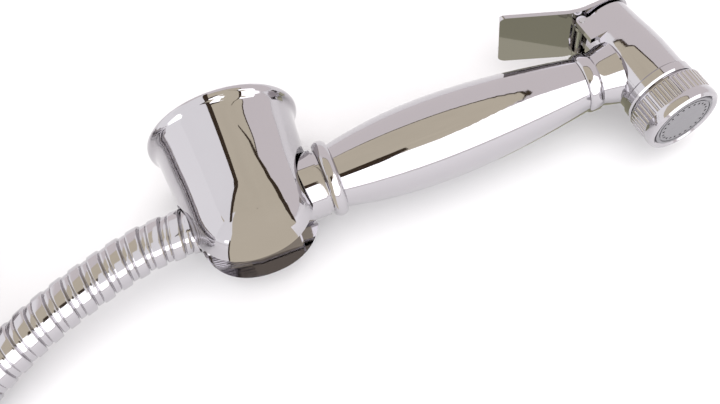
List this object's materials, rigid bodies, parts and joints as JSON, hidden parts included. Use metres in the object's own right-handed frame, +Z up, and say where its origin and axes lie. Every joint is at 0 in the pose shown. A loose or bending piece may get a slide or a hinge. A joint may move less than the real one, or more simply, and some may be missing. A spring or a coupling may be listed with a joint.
{
  "type": "handheld bath sprayer",
  "caption": "Polished trigger hand spray with a ribbed spray ring, parked in a bell-shaped wall holder, on a flexible metal hose that ends in a pipe nut.",
  "frame": {"origin": "on the surface the sprayer lies on, at the middle of the box of the spray and its holder without the hose", "axes": "+X along the handle from the hose end to the head, -Y towards the spray face and the holder's nose, +Z up"},
  "size_m": [0.4126, 0.1699, 0.0549],
  "materials": {
    "holder_chrome": "polished",
    "plate_steel": "plain",
    "screw_steel": "blackened",
    "tail_chrome": "polished",
    "bead_chrome": "polished",
    "handle_chrome": "polished",
    "collar_chrome": "polished",
    "head_chrome": "polished",
    "lever_chrome": "polished",
    "pin_steel": "bright",
    "rubber_seal": "matt",
    "valve_brass": "machined",
    "spring_steel": "bright",
    "water_tube": "smooth",
    "flow_plastic": "moulded",
    "spray_face": "satin",
    "ring_chrome": "polished, ribbed",
    "nut_chrome": "polished, ribbed",
    "ferrule_chrome": "polished",
    "hose_metal": "polished interlocked strip",
    "hose_wound": "polished interlocked strip",
    "tie_fabric": "woven"
  },
  "bodies": {
    "holder": {"holder_bell": "holder_chrome", "wall_plate": "plate_steel", "grub_screw": "screw_steel"},
    "spray": {"tail_connector": "tail_chrome", "bead_ring": "bead_chrome", "handle_shell": "handle_chrome", "handle_collar": "collar_chrome", "head_body": "head_chrome", "lever_pin": "pin_steel", "gland_nut": "valve_brass", "gland_seal": "rubber_seal", "valve_spring": "spring_steel", "valve_seat": "valve_brass", "inner_tube": "water_tube", "tube_seal": "rubber_seal", "flow_disc": "flow_plastic", "face_seal": "rubber_seal", "spray_plate": "spray_face", "tail_washer": "rubber_seal", "hose_ferrule": "ferrule_chrome", "hose_tube": "hose_metal", "hose_coil": "hose_wound", "coil_tie": "tie_fabric", "end_ferrule": "ferrule_chrome"},
    "trigger": {"trigger_lever": "lever_chrome"},
    "valve_rod": {"valve_stem": "valve_brass", "valve_washer": "rubber_seal"},
    "nut": {"hose_nut": "nut_chrome"},
    "ring": {"spray_ring": "ring_chrome"},
    "supply_nut": {"end_nut": "nut_chrome", "end_washer": "rubber_seal"}
  },
  "joints": [
    {"name": "spray_lift", "type": "slide", "parent": "holder", "child": "spray", "axis": [1, 0, 0], "range_m": [0, 0.042]},
    {"name": "trigger_press", "type": "hinge", "parent": "spray", "child": "trigger", "pos_m": [0.05647, 0.01353, 0.021], "axis": [0, 0, 1], "range_deg": [0, 15], "stiffness_Nm_per_rad": 0.5, "springref_deg": -3.44},
    {"name": "valve_lift", "type": "slide", "parent": "spray", "child": "valve_rod", "axis": [-0.1392, 0.9903, 0], "range_m": [0, 0.00293], "deforming": ["valve_spring"]},
    {"name": "nut_turn", "type": "hinge", "parent": "spray", "child": "nut", "pos_m": [-0.0718, -0.0024, 0.021], "axis": [1, 0, 0], "continuous": true},
    {"name": "ring_turn", "type": "hinge", "parent": "spray", "child": "ring", "pos_m": [0.07031, -0.02022, 0.021], "axis": [0.1392, -0.9903, 0], "continuous": true},
    {"name": "supply_nut_turn", "type": "hinge", "parent": "spray", "child": "supply_nut", "pos_m": [-0.3038, -0.03639, 0.04148], "axis": [-0.8207, 0.5632, 0.0965], "continuous": true}
  ],
  "couplings": [
    {"joint": "trigger_press", "follows": "valve_lift", "rad_per_m": 89.286}
  ]
}
